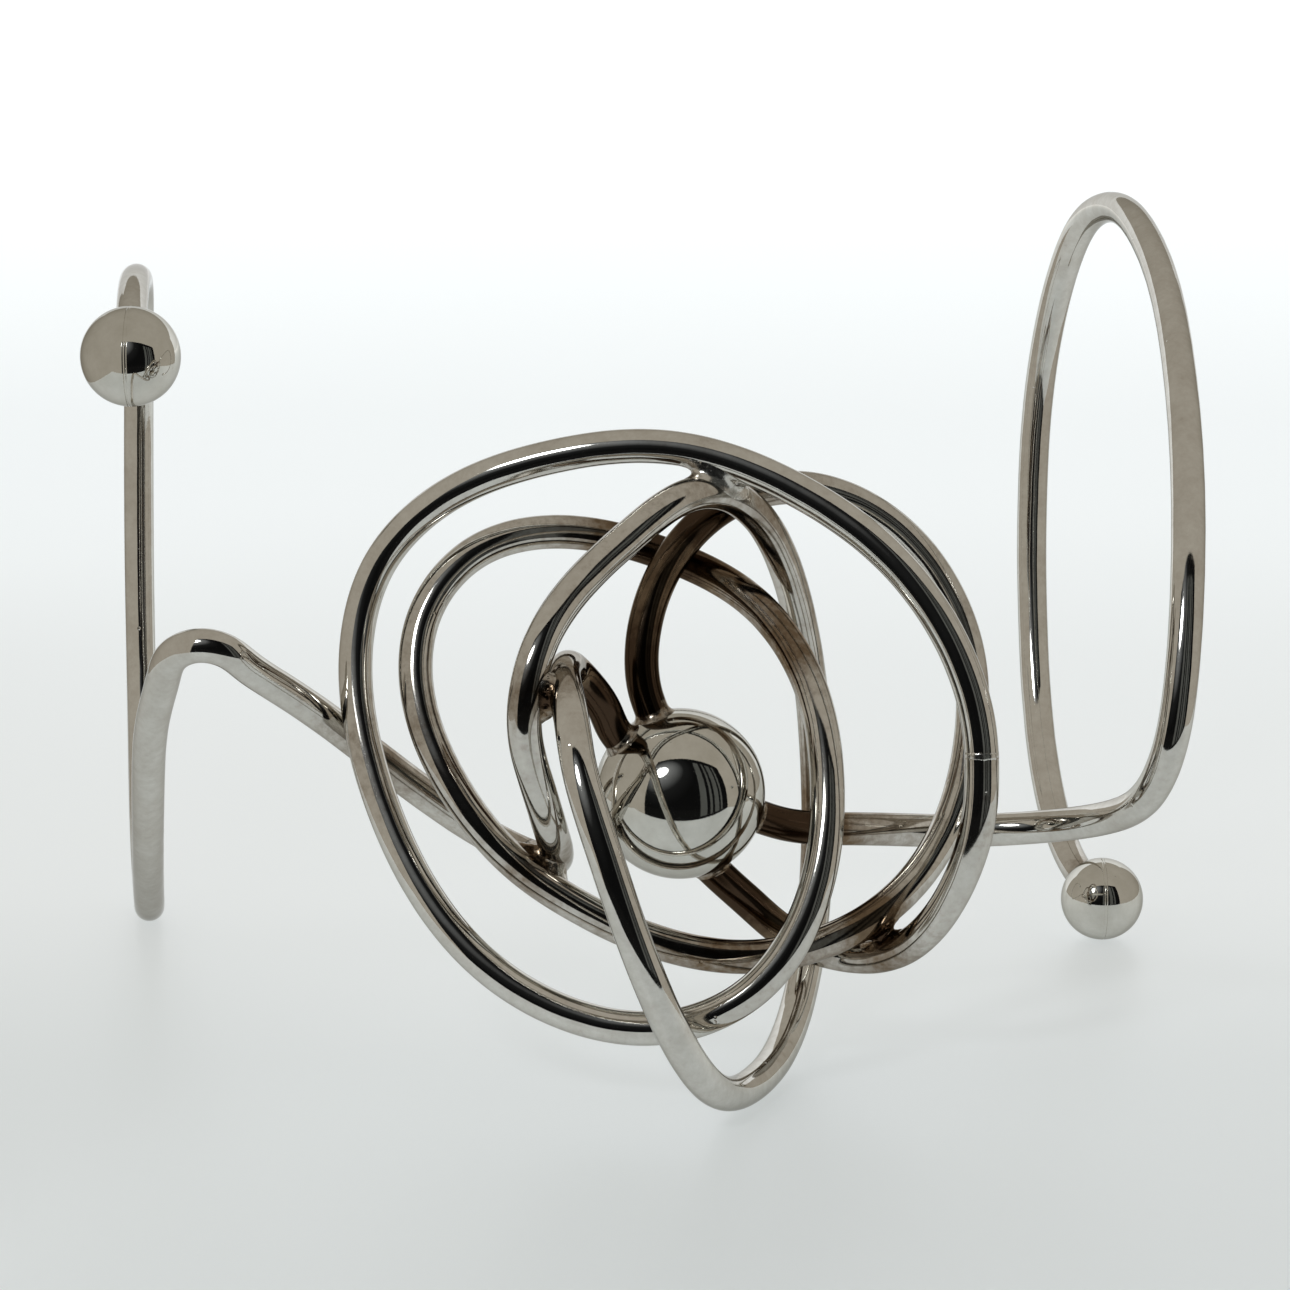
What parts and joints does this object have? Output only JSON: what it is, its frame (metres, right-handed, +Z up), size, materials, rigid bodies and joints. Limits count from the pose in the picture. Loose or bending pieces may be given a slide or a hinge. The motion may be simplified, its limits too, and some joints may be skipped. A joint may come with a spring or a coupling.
{
  "type": "wire arm cuff",
  "caption": "Free-standing silver arm cuff bent from heavy round wire: open C-shaped loops at each end, soldered wire orbits and a hollow ball at the front, a small ball on each free end.",
  "frame": {"origin": "bottom centre of the whole object, on the surface it stands on", "axes": "+X along the arm that wears the cuff, towards the larger loop; +Y away from the front, where the orbits and the centre ball are; +Z up"},
  "size_m": [0.103, 0.0898, 0.0718],
  "materials": {
    "silver_wire": "polished silver wire with light grey-brown tarnish and fine draw marks",
    "silver_ball": "mirror-polished silver with a few pits",
    "silver_solder": "lumpy silver solder, polished on its high spots, dark in its pits"
  },
  "bodies": {
    "root": {"left_cuff_wire": "silver_wire", "tall_orbit_wire": "silver_wire", "right_cuff_wire": "silver_wire", "stem_wire": "silver_wire", "outer_orbit_wire": "silver_wire", "inner_orbit_wire": "silver_wire", "centre_ball_front_shell": "silver_ball", "centre_ball_rear_shell": "silver_ball", "left_ball_inner_shell": "silver_ball", "left_ball_outer_shell": "silver_ball", "right_ball_inner_shell": "silver_ball", "right_ball_outer_shell": "silver_ball", "centre_ball_seam_solder": "silver_solder", "left_ball_seam_solder": "silver_solder", "right_ball_seam_solder": "silver_solder", "top_solder": "silver_solder", "hook_solder": "silver_solder", "corner_solder": "silver_solder", "lower_solder": "silver_solder", "side_seam_solder": "silver_solder", "hidden_seam_solder": "silver_solder", "hook_end_solder": "silver_solder", "orbit_end_solder": "silver_solder", "stem_end_solder": "silver_solder", "right_arm_solder": "silver_solder", "left_ball_solder": "silver_solder", "right_ball_solder": "silver_solder"}
  },
  "joints": []
}
